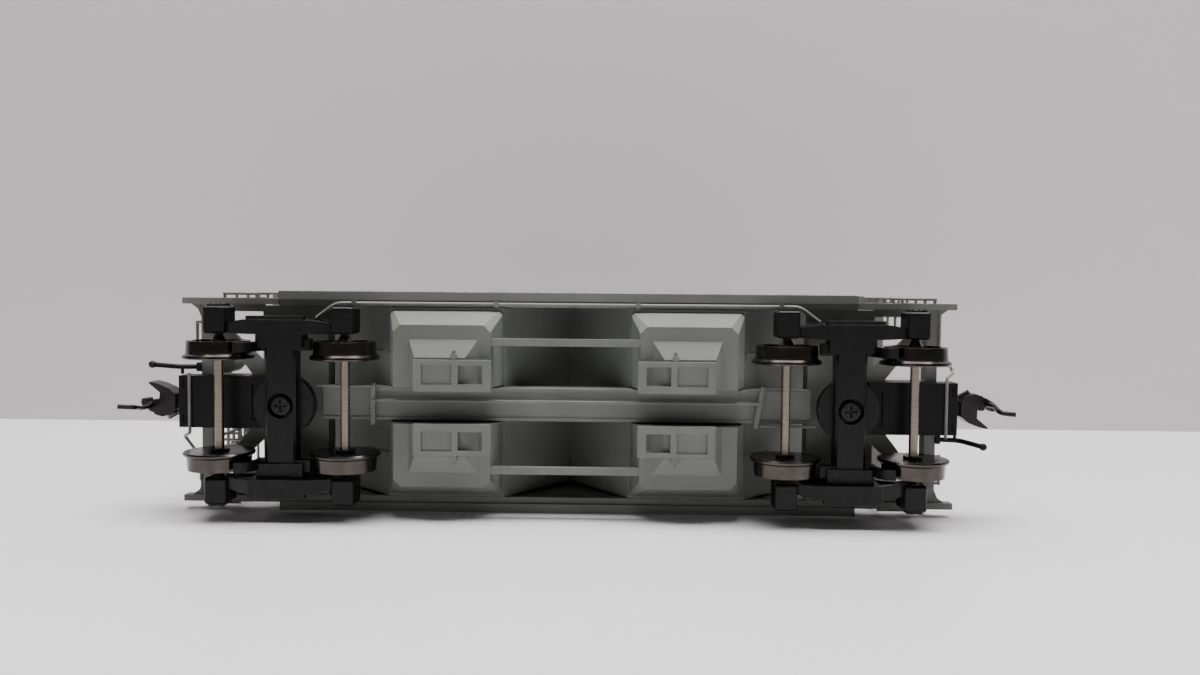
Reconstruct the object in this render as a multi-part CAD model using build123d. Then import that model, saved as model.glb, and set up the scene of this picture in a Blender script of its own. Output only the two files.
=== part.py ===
from build123d import *
import os
from math import cos, radians, sin

# An HO scale (1:87.1) two-bay covered hopper car.
# Millimetres. X runs along the car, Y across it and Z up. The origin is midway along and across the
# car, level with the lowest points of the wheel flanges. The A end is at +X. The B end, with the hand
# brake, is at -X. What stands at one end only is named after it; most of the rest is the same at both
# ends after half a turn about Z.

# ---------------------------------------------------------------- driving dimensions
# Wheels and axles
BACK_TO_BACK = 14.5        # between the backs of a pair of wheels
WHEEL_WIDTH = 2.8
TREAD_RADIUS = 4.8
FLANGE_DEPTH = 0.63
FLANGE_WIDTH = 0.8
RIM_DEPTH = 0.85           # radial depth of the wheel's rim
WEB_WIDTH = 0.7            # thickness of the wheel between rim and hub
HUB_RADIUS = 1.5
AXLE_RADIUS = 0.7
BUSH_WALL = 0.45           # plastic bush in one wheel of each pair
AXLE_TIP_SPAN = 25.7       # over the two needle points

# Trucks
TRUCK_CENTRES = 88.3
WHEELBASE = 19.8
FRAME_PITCH = 24.6         # between the mid planes of the two sideframes
FRAME_WIDTH = 2.2
BOLSTER_WIDTH = 4.8
BOLSTER_TOP = 7.6
BOLSTER_BOTTOM = 4.4
PIVOT_RADIUS = 4.8         # round bearing pad on the truck
BODY_PAD_RADIUS = 2.6      # smaller pad on the body above it
JOURNAL_WIDTH = 3.5
SCREW_RADIUS = 0.95
SCREW_HEAD_RADIUS = 1.65

# Body
BODY_OVERHANG = 9.85       # from the truck's centre out to the end wall
BODY_WIDTH = 35.2
SIDE_WALL = 1.8
ROOF_TOP = 49.4
ROOF_EDGE = 46.0           # where the side runs into the roof curve
WALL_BOTTOM = 13.2
SILL_OVERHANG = 2.45       # from the truck's centre to the end of the side sill's deep stretch
SILL_BOTTOM = 11.2
FRAME_OVERHANG = 18.25     # from the truck's centre to the tips of the end frame
FRAME_INSET = 1.0          # of the end frame's side bars from the body's sides
FRAME_BOTTOM = 11.6
FRAME_TOP = 13.6
DECK_BOTTOM = 12.3         # underside of the bolsters and stub sills

# Roof hatches, walkways and ladders
HATCH_RADIUS = 2.9
HATCH_PITCH = 20.0
HATCH_Y = 5.0
HATCH_ROWS = 5
WALK_INNER = 9.6           # |Y| of the long walkways' edges
WALK_OUTER = 14.0
CROSSWALK_INSET = 1.4      # from the tips of the end frame
SIDE_LADDER_OFFSET = 3.0   # from the end wall out to the ladder's middle
GRAB_INSET = 8.6           # from the tips of the end frame
END_LADDER_INSET = 3.7     # from the end frame's side bars
SIDE_RUNGS = 7
GRAB_RUNGS = 4

# Hopper bottoms
RIDGE_TOP = 26.0           # underside of the ridge between the two bays
BAY_TOP = 11.5
BAY_BOTTOM = 6.0
BAY_INNER = 11.7           # |X| of the bay's wall nearest the middle of the car
BAY_OUTER = 26.9
BAY_INSET = 2.7            # of the bays' sides from the side sills
END_SLOPE = 46.0           # degrees from level
SHEET = 1.4
GATE_BOTTOM = 3.5
GATE_THICKNESS = 0.9
CENTRE_SILL_HALF_WIDTH = 2.6
CENTRE_SILL_BOTTOM = 9.0
GATE_NEAR = 2.5            # |Y| of the gates' edges
GATE_FAR = 7.4

# Brake gear
BRAKE_POST_INSETS = (8.7, 3.7)    # of the two posts that carry the hand brake from the end ladder
BRAKE_POST_RADIUS = 0.4
BRAKE_WHEEL_RADIUS = 3.1
BRAKE_WHEEL_INSET = 6.2    # from the end ladder
BRAKE_WHEEL_Z = 34.0
BRAKE_SHAFT_RADIUS = 0.35
PLATFORM_Z = 25.0
LEVER_X = 30.6
CLIP_PLACES = (-34.3, -11.4, 11.4, 34.3)

# Draft gear and couplers
BOX_SETBACK = 0.5          # of the coupler box's mouth from the tips of the end frame
BOX_LENGTH = 14.0
BOX_HALF_WIDTH = 4.15
BOX_BOTTOM = 8.7
BOX_WALL = 0.6
COUPLER_Z = 10.5
POST_SETBACK = 7.7         # of the post that the shank swings on, from the box's mouth
SHANK_WIDTH = 2.2
SHANK_HEIGHT = 1.7
HEAD_HEIGHT = 3.2
KNUCKLE_HEIGHT = 2.3
TRIP_PIN_RADIUS = 0.38
TRIP_PIN_REACH = 1.5       # from the knuckle's pin out to the trip pin
TRIP_PIN_Y = -0.85
TRIP_PIN_TIP = 1.5
KNUCKLE_REACH = 11.0       # from the shank's post to the pin that the knuckle swings on
KNUCKLE_Y = -1.35
KNUCKLE_PIN = 0.3
KNUCKLE_EYE = 0.85
MOUTH_HALF = 2.75          # half width of the coupler box's mouth
COUPLER_POST_RADIUS = 0.9
HOSE_RADIUS = 0.4
HOSE_Y = 5.3

# Ballast plate
WEIGHT_HALF_LENGTH = 34.0
WEIGHT_INSET = 2.8         # from the inner faces of the sides
WEIGHT_THICKNESS = 3.0

# Wires, stiles and boards
WIRE = 0.25                # radius of grab irons and rungs
RUNG_PITCH = 5.2
LADDER_WIDTH = 5.3
STILE = 0.55
WALK_Z = 50.3              # underside of the roof walkways
WALK_THICKNESS = 0.5
PIPE_RADIUS = 0.35

# Running clearances
PLAY = 0.1                 # between a moving piece and what it turns on
CONE_PLAY = 0.08           # round the axle's needle points

# ---------------------------------------------------------------- sizes that follow
AXLE_Z = TREAD_RADIUS + FLANGE_DEPTH
PIVOT_X = TRUCK_CENTRES / 2
WHEEL_BACK = BACK_TO_BACK / 2
WHEEL_FRONT = WHEEL_BACK + WHEEL_WIDTH
BUSH_RADIUS = AXLE_RADIUS + BUSH_WALL
BODY_HALF = PIVOT_X + BODY_OVERHANG
HALF_WIDTH = BODY_WIDTH / 2
INNER_HALF_WIDTH = HALF_WIDTH - SIDE_WALL
FRAME_END = PIVOT_X + FRAME_OVERHANG
FRAME_HALF_WIDTH = HALF_WIDTH - FRAME_INSET
SILL_HALF = PIVOT_X + SILL_OVERHANG
END_SILL_INNER = FRAME_END - 4.6
END_SILL_OUTER = FRAME_END - 2.8
SLOPE_FOOT = BAY_OUTER + 1.8
SLOPE_RATE = sin(radians(END_SLOPE)) / cos(radians(END_SLOPE))
BOX_OUTER_END = FRAME_END - BOX_SETBACK
BOX_INNER_END = BOX_OUTER_END - BOX_LENGTH
COUPLER_PIVOT = BOX_OUTER_END - POST_SETBACK
KNUCKLE_X = COUPLER_PIVOT + KNUCKLE_REACH
TRIP_PIN_X = KNUCKLE_X + TRIP_PIN_REACH
BOX_TOP = DECK_BOTTOM
BOLSTER_INNER = PIVOT_X - 5.3
BOLSTER_OUTER = PIVOT_X + 5.3
STUB_TOP = DECK_BOTTOM + 2.3
HEAD_BOTTOM = COUPLER_Z - HEAD_HEIGHT / 2
GATE_TOP = GATE_BOTTOM + GATE_THICKNESS
LADDER_Y = FRAME_HALF_WIDTH + 0.7
END_LADDER_Y = FRAME_HALF_WIDTH - END_LADDER_INSET
SIDE_LADDER_X = BODY_HALF + SIDE_LADDER_OFFSET
GRAB_X = FRAME_END - GRAB_INSET
CROSSWALK_END = FRAME_END - CROSSWALK_INSET
BRAKE_POSTS = [END_LADDER_Y - inset for inset in BRAKE_POST_INSETS]
BRAKE_WHEEL_Y = END_LADDER_Y - BRAKE_WHEEL_INSET
INSIDE_SILLS = INNER_HALF_WIDTH - 0.4
BAY_HALF_WIDTH = INSIDE_SILLS - BAY_INSET
FLANGE_BOTTOM = SILL_BOTTOM + 0.6
HATCH_BOTTOM = ROOF_TOP + 0.7
GATE_INNER = BAY_INNER - 0.4
GATE_OUTER = BAY_OUTER - 3.6
CENTRE_SILL_TOP = DECK_BOTTOM + 1.2
RIDGE_FOOT = BAY_INNER - 1.6
BRAKE_FACE = -END_SILL_OUTER - 0.3
BRAKE_POST_X = -END_SILL_INNER - 0.9
LEVER_Z = CENTRE_SILL_BOTTOM - 0.7
TRAIN_LINE_Z = FLANGE_BOTTOM - PIPE_RADIUS - 0.2
TRAIN_LINE_Y = -(HALF_WIDTH - 1.75)
SCREW_SEAT = BOLSTER_BOTTOM + 1.2
ENDS = {"a": 1, "b": -1}   # sign of X


# ---------------------------------------------------------------- building blocks
def block(x0, x1, y0, y1, z0, z1):
    """A box given by its low and high faces."""
    centre = Pos((x0 + x1) / 2, (y0 + y1) / 2, (z0 + z1) / 2)
    return centre * Box(abs(x1 - x0), abs(y1 - y0), abs(z1 - z0))


def prism(points, direction):
    """A closed outline pushed along a direction."""
    outline = Wire.make_polygon([Vector(*point) for point in points], close=True)
    return Solid.extrude(Face(outline), Vector(*direction))


def prism_xz(points, y0, y1):
    return prism([(x, y0, z) for x, z in points], (0, y1 - y0, 0))


def prism_yz(points, x0, x1):
    return prism([(x0, y, z) for y, z in points], (x1 - x0, 0, 0))


def prism_xy(points, z0, z1):
    return prism([(x, y, z0) for x, y in points], (0, 0, z1 - z0))


def rod(start, end, radius):
    """A round bar between two points."""
    line = Vector(*end) - Vector(*start)
    return Solid.make_cylinder(radius, line.length, Plane(origin=start, z_dir=line))


def post(x, y, z0, z1, radius):
    """An upright round bar."""
    return rod((x, y, z0), (x, y, z1), radius)


def bent_rod(points, radius, bends):
    """A round bar that turns at each inner point on an arc."""
    path = FilletPolyline(*points, radius=bends)
    start = Plane(origin=path @ 0, z_dir=path % 0)
    return sweep(start * Circle(radius), path)


def frustum(low, high):
    """A four-sided block between two level rectangles, each (x0, x1, y0, y1, z)."""
    wires = []
    for x0, x1, y0, y1, z in (low, high):
        corners = [Vector(x0, y0, z), Vector(x1, y0, z), Vector(x1, y1, z), Vector(x0, y1, z)]
        wires.append(Wire.make_polygon(corners, close=True))
    return Solid.make_loft(wires, ruled=True)


def turned(shape):
    """The same piece at the other end of the car."""
    return Rot(0, 0, 180) * shape


def at_end(shape, end):
    return shape if end == "a" else turned(shape)


def across(shape):
    """The same piece on the other side of the car."""
    return mirror(shape, about=Plane.XZ)


def slope_z(x):
    """Height of the outer face of the end slope sheets."""
    return BAY_TOP + (x - SLOPE_FOOT) * SLOPE_RATE


# ---------------------------------------------------------------- body
def body_section(half_width, bottom, edge, top):
    """Upright sides that curve over into an arched roof."""
    shoulder = (half_width * 0.9, 0, (edge + top) / 2 + 0.3)
    side = Polyline((-half_width, 0, edge), (-half_width, 0, bottom), (half_width, 0, bottom),
                    (half_width, 0, edge))
    right = ThreePointArc((half_width, 0, edge), shoulder, (half_width * 0.6, 0, top - 0.5))
    left = ThreePointArc((-half_width, 0, edge), (-shoulder[0], 0, shoulder[2]),
                         (-half_width * 0.6, 0, top - 0.5))
    crown = ThreePointArc((half_width * 0.6, 0, top - 0.5), (0, 0, top), (-half_width * 0.6, 0, top - 0.5))
    outline = Wire([*side.edges(), right.edge(), crown.edge(), left.edge()])
    return Rot(0, 0, 90) * Face(outline)


def body_block(inset):
    """The body's outer form, or with an inset the space inside its walls."""
    section = body_section(HALF_WIDTH - inset, WALL_BOTTOM - inset, ROOF_EDGE, ROOF_TOP - inset)
    half_length = BODY_HALF - inset
    return Solid.extrude(Pos(-half_length, 0, 0) * section, Vector(2 * half_length, 0, 0))


def body_shell():
    """Sides, end walls and roof in one moulding, open below, with a coaming for each hatch."""
    shell = body_block(0) - body_block(SIDE_WALL)
    for sign in ENDS.values():
        under_slope = [(sign * SILL_HALF, 0), (sign * SILL_HALF, slope_z(SILL_HALF)),
                       (sign * BODY_HALF, slope_z(BODY_HALF)), (sign * (BODY_HALF + 5), slope_z(BODY_HALF)),
                       (sign * (BODY_HALF + 5), 0)]
        shell -= prism_xz(under_slope, -HALF_WIDTH - 1, HALF_WIDTH + 1)
        end_mouth = [(sign * (BODY_HALF - SIDE_WALL - 0.1), slope_z(BODY_HALF) - 6),
                     (sign * (BODY_HALF - SIDE_WALL - 0.1), slope_z(BODY_HALF - SIDE_WALL)),
                     (sign * (BODY_HALF + 1), slope_z(BODY_HALF + 1)),
                     (sign * (BODY_HALF + 1), slope_z(BODY_HALF) - 6)]
        shell -= prism_xz(end_mouth, -INNER_HALF_WIDTH, INNER_HALF_WIDTH)
    for x, y in hatch_places():
        shell += post(x, y, ROOF_TOP - SIDE_WALL + 0.2, HATCH_BOTTOM, HATCH_RADIUS - 0.4)
    return shell


def hatch_places():
    first = -HATCH_PITCH * (HATCH_ROWS - 1) / 2
    return [(first + row * HATCH_PITCH, side * HATCH_Y) for row in range(HATCH_ROWS) for side in (-1, 1)]


def hatch_covers():
    """Round lids with a raised middle, a hinge lug on the outer side and a latch lug on the inner."""
    covers = []
    for x, y in hatch_places():
        side = 1 if y > 0 else -1
        lid = post(x, y, HATCH_BOTTOM, HATCH_BOTTOM + 0.8, HATCH_RADIUS)
        lid += post(x, y, HATCH_BOTTOM + 0.8, HATCH_BOTTOM + 1.2, HATCH_RADIUS - 0.8)
        reach = HATCH_RADIUS + 0.6
        lid += block(x - 0.6, x + 0.6, y, y + side * reach, HATCH_BOTTOM, HATCH_BOTTOM + 1.0)
        lid += block(x - 0.35, x + 0.35, y - side * reach, y, HATCH_BOTTOM, HATCH_BOTTOM + 1.0)
        covers.append(lid)
    return covers


def side_sills():
    """Deep middle stretch of each side sill, with a raised inner flange that the wall stands on."""
    flange = 1.4
    outer = HALF_WIDTH + 0.2
    section = [(outer, SILL_BOTTOM), (outer, WALL_BOTTOM), (INSIDE_SILLS, WALL_BOTTOM),
               (INSIDE_SILLS, FLANGE_BOTTOM), (outer - flange, FLANGE_BOTTOM), (outer - flange, SILL_BOTTOM)]
    sill = prism_yz(section, -SILL_HALF, SILL_HALF)
    return [sill, across(sill)]


# ---------------------------------------------------------------- hopper bottom
def sheet_outline(half_width_gap):
    """Side view of the slope sheets: down from one end, level over each bay, up to the ridge."""
    end_x = BODY_HALF - SIDE_WALL - half_width_gap
    below = [(-end_x, slope_z(end_x)), (-SLOPE_FOOT, BAY_TOP), (-RIDGE_FOOT, BAY_TOP), (0, RIDGE_TOP),
             (RIDGE_FOOT, BAY_TOP), (SLOPE_FOOT, BAY_TOP), (end_x, slope_z(end_x))]
    above = [(x, z + SHEET * 1.3) for x, z in reversed(below)]
    return below + above


def bay(sign_x, sign_y):
    """Half of one bay, beside the centre sill: side chute, flat collar and funnel to its gate."""
    inner_y = CENTRE_SILL_HALF_WIDTH + 0.3

    def ring(x0, x1, y1, z, corner):
        points = [(x0, inner_y), (x1, inner_y), (x1, y1 - corner), (x1 - corner, y1), (x0 + corner, y1),
                  (x0, y1 - corner)]
        return Wire.make_polygon([Vector(sign_x * x, sign_y * y, z) for x, y in points], close=True)

    chute = Solid.make_loft([ring(BAY_INNER, BAY_OUTER, BAY_HALF_WIDTH, BAY_BOTTOM, 1.1),
                             ring(RIDGE_FOOT, SLOPE_FOOT, INSIDE_SILLS - 0.3, BAY_TOP + 0.4, 0.4)],
                            ruled=True)
    funnel = funnel_block(sign_x, sign_y)
    return chute + funnel


def funnel_block(sign_x, sign_y):
    top = (sign_x * (BAY_INNER + 1.7), sign_x * (BAY_OUTER - 2.3), sign_y * (GATE_NEAR + 0.4),
           sign_y * (BAY_HALF_WIDTH - 1.9), BAY_BOTTOM + 0.2)
    foot = (sign_x * (GATE_INNER + 4.1), sign_x * GATE_OUTER, sign_y * (GATE_NEAR + 0.4),
            sign_y * (GATE_FAR + 0.3), GATE_TOP)
    return frustum(foot, top)


def hopper_bottom():
    """Slope sheets with the chutes of both bays, moulded in one and set into the body from below."""
    bottom = prism_xz(sheet_outline(0.05), -INSIDE_SILLS + 0.1, INSIDE_SILLS - 0.1)
    for sign_x in (1, -1):
        for sign_y in (1, -1):
            bottom += bay(sign_x, sign_y)
        rib_x = sign_x * (SLOPE_FOOT + 4.5)
        for rib_y in (8.2, -8.2):
            bottom += rod((sign_x * SLOPE_FOOT, rib_y, BAY_TOP - 0.05),
                          (rib_x, rib_y, slope_z(SLOPE_FOOT + 4.5) - 0.05), WIRE)
    return bottom - centre_sill_space()


def centre_sill_space():
    half = CENTRE_SILL_HALF_WIDTH
    return block(-BOLSTER_INNER, BOLSTER_INNER, -half, half, 0, CENTRE_SILL_TOP)


def outlet_gate(sign_x, sign_y):
    """Sliding gate frame: a sunk square panel, a see-through window and a stop on its outer edge."""
    def piece(x0, x1, y0, y1, z0, z1):
        return block(sign_x * x0, sign_x * x1, sign_y * y0, sign_y * y1, z0, z1)

    gate = piece(GATE_INNER, GATE_OUTER, GATE_NEAR, GATE_FAR, GATE_BOTTOM, GATE_TOP)
    border = 0.65
    split = GATE_INNER + 5.4
    gate -= piece(split + border, GATE_OUTER - border - 0.6, GATE_NEAR + 1.1, GATE_FAR - border,
                  GATE_BOTTOM, GATE_BOTTOM + 0.35)
    gate -= piece(GATE_INNER + 1.35, split - border / 2, GATE_NEAR + 1.2, GATE_FAR - border - 0.15,
                  GATE_BOTTOM, GATE_TOP)
    gate += piece(split - 0.1, split + 0.9, GATE_FAR, GATE_FAR + 0.9, GATE_BOTTOM + 0.2, GATE_TOP)
    gate += piece(split + 0.15, split + 0.65, GATE_FAR + 0.2, GATE_FAR + 1.5, GATE_BOTTOM + 0.4, GATE_TOP)
    return gate


def bay_tie_bars():
    """Two flat bars that tie the collars of the two bays together."""
    bar = block(-BAY_INNER, BAY_INNER, BAY_HALF_WIDTH - 3.2, BAY_HALF_WIDTH - 2.05,
                BAY_BOTTOM + 0.1, BAY_BOTTOM + 1.2)
    bar -= bay(1, 1) + bay(-1, 1)
    return [bar, across(bar)]


# ---------------------------------------------------------------- underframe
def centre_sill():
    """Hat-shaped centre sill from bolster to bolster, with a shallow groove between two flanges."""
    half = CENTRE_SILL_HALF_WIDTH
    sill = block(-BOLSTER_INNER, BOLSTER_INNER, -half, half, CENTRE_SILL_BOTTOM, CENTRE_SILL_TOP)
    groove = block(-BOLSTER_INNER, BOLSTER_INNER, -half + 0.5, half - 0.5, CENTRE_SILL_BOTTOM,
                   CENTRE_SILL_BOTTOM + 0.25)
    return sill - groove


def body_bolsters():
    """Cross members over the trucks, each with a round bearing pad and a pilot hole for its screw."""
    bolsters = []
    for sign in ENDS.values():
        x0 = sign * BOLSTER_INNER
        x1 = sign * BOLSTER_OUTER
        slab = block(x0, x1, -INSIDE_SILLS, INSIDE_SILLS, DECK_BOTTOM, STUB_TOP)
        for web_x in (x0, x1 - sign * 0.8):
            slab += block(web_x, web_x + sign * 0.8, -11, 11, STUB_TOP, STUB_TOP + 1.6)
        slab += post(sign * PIVOT_X, 0, BOLSTER_TOP + PLAY, DECK_BOTTOM, BODY_PAD_RADIUS)
        slab -= post(sign * PIVOT_X, 0, BOLSTER_TOP, STUB_TOP, SCREW_RADIUS)
        bolsters.append(slab)
    return bolsters


def end_frame(end):
    """Platform frame beyond a bolster: end sill, side bars, stub sill, diagonals and corner gussets."""
    frame = block(END_SILL_INNER, END_SILL_OUTER, -FRAME_HALF_WIDTH + 0.6, FRAME_HALF_WIDTH - 0.6,
                  DECK_BOTTOM, STUB_TOP + 0.4)
    frame += block(BOLSTER_OUTER, END_SILL_INNER, -BOX_HALF_WIDTH, BOX_HALF_WIDTH, DECK_BOTTOM, STUB_TOP)
    for side in (1, -1):
        bar = block(SILL_HALF, FRAME_END, side * (FRAME_HALF_WIDTH - 1.0), side * FRAME_HALF_WIDTH,
                    FRAME_BOTTOM, FRAME_TOP)
        slot = block(SILL_HALF + 1.6, SILL_HALF + 4.4, side * (FRAME_HALF_WIDTH - 0.3),
                     side * (FRAME_HALF_WIDTH + 1), FRAME_BOTTOM + 0.7, FRAME_TOP - 0.5)
        ledge = block(BOLSTER_OUTER, END_SILL_INNER, side * (FRAME_HALF_WIDTH - 2.2),
                      side * (FRAME_HALF_WIDTH - 1.0), FRAME_TOP - 0.7, FRAME_TOP)
        gusset = prism_xy([(END_SILL_OUTER, side * (FRAME_HALF_WIDTH - 1.0)),
                           (END_SILL_OUTER + 1.6, side * (FRAME_HALF_WIDTH - 1.0)),
                           (END_SILL_OUTER + 0.5, side * (FRAME_HALF_WIDTH - 1.8)),
                           (END_SILL_OUTER, side * (FRAME_HALF_WIDTH - 3.0))], FRAME_TOP - 1.4, FRAME_TOP)
        brace = prism_xy([(BOLSTER_OUTER, side * (BOX_HALF_WIDTH - 0.5)),
                          (BOLSTER_OUTER + 1.4, side * (BOX_HALF_WIDTH - 0.5)),
                          (END_SILL_INNER, side * (FRAME_HALF_WIDTH - 4.0)),
                          (END_SILL_INNER, side * (FRAME_HALF_WIDTH - 2.4)),
                          (BOLSTER_OUTER, side * (BOX_HALF_WIDTH + 2.2))], DECK_BOTTOM, DECK_BOTTOM + 0.9)
        frame += bar - slot + ledge + gusset + brace
    if end == "b":
        for y in BRAKE_POSTS:
            frame += post(-BRAKE_POST_X, -y, STUB_TOP, WALK_Z, BRAKE_POST_RADIUS)
    return at_end(frame, end)


# ---------------------------------------------------------------- walkways, ladders and grab irons
def walk_board(x0, x1, y0, y1):
    """A level board with rows of slots."""
    board = block(x0, x1, y0, y1, WALK_Z, WALK_Z + WALK_THICKNESS)
    slot_length = 2.6
    pitch = 4.0
    count = int((x1 - x0 - 1.4) / pitch)
    rows = max(1, int((y1 - y0 - 0.8) / 1.15))
    first_x = (x0 + x1 - (count - 1) * pitch) / 2
    first_y = (y0 + y1 - (rows - 1) * 1.15) / 2
    for column in range(count):
        for row in range(rows):
            x = first_x + column * pitch
            y = first_y + row * 1.15
            board -= block(x - slot_length / 2, x + slot_length / 2, y - 0.3, y + 0.3, WALK_Z - 1, WALK_Z + 1)
    return board


def running_boards():
    """Two long roof boards outside the hatches, on short legs that reach down to the roof."""
    board = walk_board(-BODY_HALF + 3, BODY_HALF - 3, WALK_INNER, WALK_OUTER)
    for row in range(HATCH_ROWS + 1):
        x = (row - HATCH_ROWS / 2) * HATCH_PITCH
        leg = block(x - 0.4, x + 0.4, WALK_INNER + 0.2, WALK_OUTER - 0.2, ROOF_EDGE, WALK_Z)
        board += leg - body_block(0)
    return [board, across(board)]


def crosswalks():
    """A board across the roof at each end, past the end wall, between the running boards."""
    x0 = BODY_HALF - 3 + 0.05
    board = block(x0, CROSSWALK_END, -LADDER_Y, LADDER_Y, WALK_Z, WALK_Z + WALK_THICKNESS)
    for column in range(3):
        for row in range(13):
            y = (row - 6) * 2.5
            x = x0 + 1.4 + column * 1.9
            board -= block(x - 0.4, x + 0.4, y - 0.8, y + 0.8, WALK_Z - 1, WALK_Z + 1)
    for y in (-6, 6):
        leg = block(x0, x0 + 0.8, y - 0.4, y + 0.4, ROOF_EDGE, WALK_Z)
        board += leg - body_block(0)
    return [board, turned(board)]


def ladder(width, rungs, top):
    """Two upright stiles with rungs held off them. The rungs run along X at Y = 0, facing -Y."""
    stand_off = 0.75
    stiles = [block(x - STILE / 2, x + STILE / 2, stand_off, stand_off + STILE, FRAME_TOP, top)
              for x in (-width / 2, width / 2)]
    steps = stiles[0] + stiles[1]
    for rung in range(rungs):
        z = FRAME_TOP + 0.6 + rung * RUNG_PITCH
        steps += rod((-width / 2 - WIRE, 0, z), (width / 2 + WIRE, 0, z), WIRE)
        for x in (-width / 2, width / 2):
            steps += rod((x, 0, z), (x, stand_off + STILE / 2, z), WIRE)
    return steps


def side_ladders():
    """A ladder at the right-hand end of each side, from the end frame to the crosswalk."""
    one = Pos(SIDE_LADDER_X, -LADDER_Y, 0) * ladder(LADDER_WIDTH, SIDE_RUNGS, WALK_Z)
    return [one, turned(one)]


def end_ladders():
    """A ladder at the left of each end, from the end sill to the crosswalk."""
    place = Pos(END_SILL_OUTER + 0.9, -END_LADDER_Y, 0) * Rot(0, 0, 90)
    one = place * ladder(LADDER_WIDTH, SIDE_RUNGS, WALK_Z)
    one -= block(END_SILL_INNER, END_SILL_OUTER, -HALF_WIDTH, HALF_WIDTH, 0, STUB_TOP + 0.4)
    return [one, turned(one)]


def grab_irons():
    """Short stacks of grab irons at the left-hand end of each side, and one on each end sill."""
    stack = Pos(-GRAB_X, -LADDER_Y, 0) * ladder(LADDER_WIDTH, GRAB_RUNGS, FRAME_TOP + GRAB_RUNGS * RUNG_PITCH)
    x0 = END_SILL_OUTER
    x1 = END_SILL_OUTER + 0.9
    z = DECK_BOTTOM + 0.6
    y0 = HOSE_Y + 2.6
    y1 = y0 + 4.9
    handle = rod((x1, y0, z), (x1, y1, z), WIRE)
    for y in (y0 + WIRE, y1 - WIRE):
        handle += rod((x0, y, z), (x1, y, z), WIRE)
    return [stack, turned(stack), handle, turned(handle)]


# ---------------------------------------------------------------- hand brake and air brake
def brake_wheel():
    """Rim, hub and six spokes, turning on the housing's stub shaft."""
    centre = Plane(origin=(BRAKE_FACE - 0.9, BRAKE_WHEEL_Y, BRAKE_WHEEL_Z), z_dir=(-1, 0, 0))
    wheel = centre * Torus(BRAKE_WHEEL_RADIUS - 0.25, 0.28)
    wheel += centre * Cylinder(0.75, 0.7)
    for spoke in range(6):
        angle = radians(60 * spoke)
        rim_y = BRAKE_WHEEL_Y + (BRAKE_WHEEL_RADIUS - 0.3) * cos(angle)
        rim_z = BRAKE_WHEEL_Z + (BRAKE_WHEEL_RADIUS - 0.3) * sin(angle)
        wheel += rod((BRAKE_FACE - 0.9, BRAKE_WHEEL_Y, BRAKE_WHEEL_Z), (BRAKE_FACE - 0.9, rim_y, rim_z), 0.2)
    return wheel - rod((BRAKE_FACE, BRAKE_WHEEL_Y, BRAKE_WHEEL_Z),
                       (BRAKE_FACE - 2, BRAKE_WHEEL_Y, BRAKE_WHEEL_Z), BRAKE_SHAFT_RADIUS + PLAY / 2)


def brake_housing():
    """Gear case on the two posts, with a stub shaft for the wheel and a chain rod down to the frame."""
    post_x = BRAKE_POST_X
    case = block(BRAKE_FACE, post_x + 0.4, BRAKE_WHEEL_Y - 1.9, BRAKE_WHEEL_Y + 1.9, BRAKE_WHEEL_Z - 3.0,
                 BRAKE_WHEEL_Z + 2.2)
    case = fillet(case.edges().filter_by(Axis.X), 0.9)
    for z in (BRAKE_WHEEL_Z - 2.2, BRAKE_WHEEL_Z + 0.6):
        case += block(post_x - 0.7, post_x - 0.4, BRAKE_POSTS[0] - 0.5, BRAKE_POSTS[1] + 0.5, z, z + 0.9)
    case += rod((BRAKE_FACE, BRAKE_WHEEL_Y, BRAKE_WHEEL_Z), (BRAKE_FACE - 1.5, BRAKE_WHEEL_Y, BRAKE_WHEEL_Z),
                BRAKE_SHAFT_RADIUS)
    for y in BRAKE_POSTS:
        case -= post(post_x, y, 0, WALK_Z, BRAKE_POST_RADIUS)
    case += post(post_x, BRAKE_WHEEL_Y, STUB_TOP + 0.4, BRAKE_WHEEL_Z - 2.5, WIRE)
    return case


def brake_platform():
    """Slotted step below the hand brake, on brackets that clasp the two posts."""
    z = PLATFORM_Z
    x0 = -FRAME_END + 0.8
    x1 = -END_SILL_INNER - 0.2
    y0 = BRAKE_POSTS[0] - 0.5
    y1 = BRAKE_POSTS[1] + 0.5
    step = block(x0, x1, y0, y1, z, z + 0.45)
    for column in range(5):
        for row in range(3):
            y = y0 + 1.0 + column * 1.1
            x = x0 + 0.75 + row * 0.95
            step -= block(x - 0.28, x + 0.28, y - 0.35, y + 0.35, z - 1, z + 1)
    for y in BRAKE_POSTS:
        step += block(-END_SILL_INNER - 1.6, x1, y - 0.6, y + 0.6, z - 1.2, z)
        step -= post(BRAKE_POST_X, y, 0, WALK_Z, BRAKE_POST_RADIUS)
    step -= post(BRAKE_POST_X, BRAKE_WHEEL_Y, 0, WALK_Z, WIRE + 0.05)
    return step


def brake_cylinder():
    """Upright brake cylinder on the B end sill, with a domed cap and a mounting flange."""
    x = -END_SILL_INNER + 0.2
    y = -5.9
    z = STUB_TOP + 0.4
    pot = post(x, y, z + 0.6, z + 6.0, 2.0) + post(x, y, z, z + 0.6, 2.4)
    pot += post(x, y, z + 6.0, z + 6.6, 1.4)
    return pot


def air_reservoir():
    """Air tank lying across the B end bolster, on two saddles."""
    x = -BOLSTER_OUTER + 2.6
    z = STUB_TOP + 4.5
    tank = rod((x, -9.5, z), (x, 2.5, z), 2.2)
    tank = fillet(tank.edges().filter_by(GeomType.CIRCLE), 0.8)
    for y in (-7.5, 0.5):
        tank += block(x - 1.0, x + 1.0, y - 0.4, y + 0.4, STUB_TOP, z) - bolster_webs()
    return tank - bolster_webs()


def bolster_webs():
    x1 = -BOLSTER_OUTER
    return block(x1, x1 + 0.8, -11, 11, STUB_TOP, STUB_TOP + 1.6)


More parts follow.
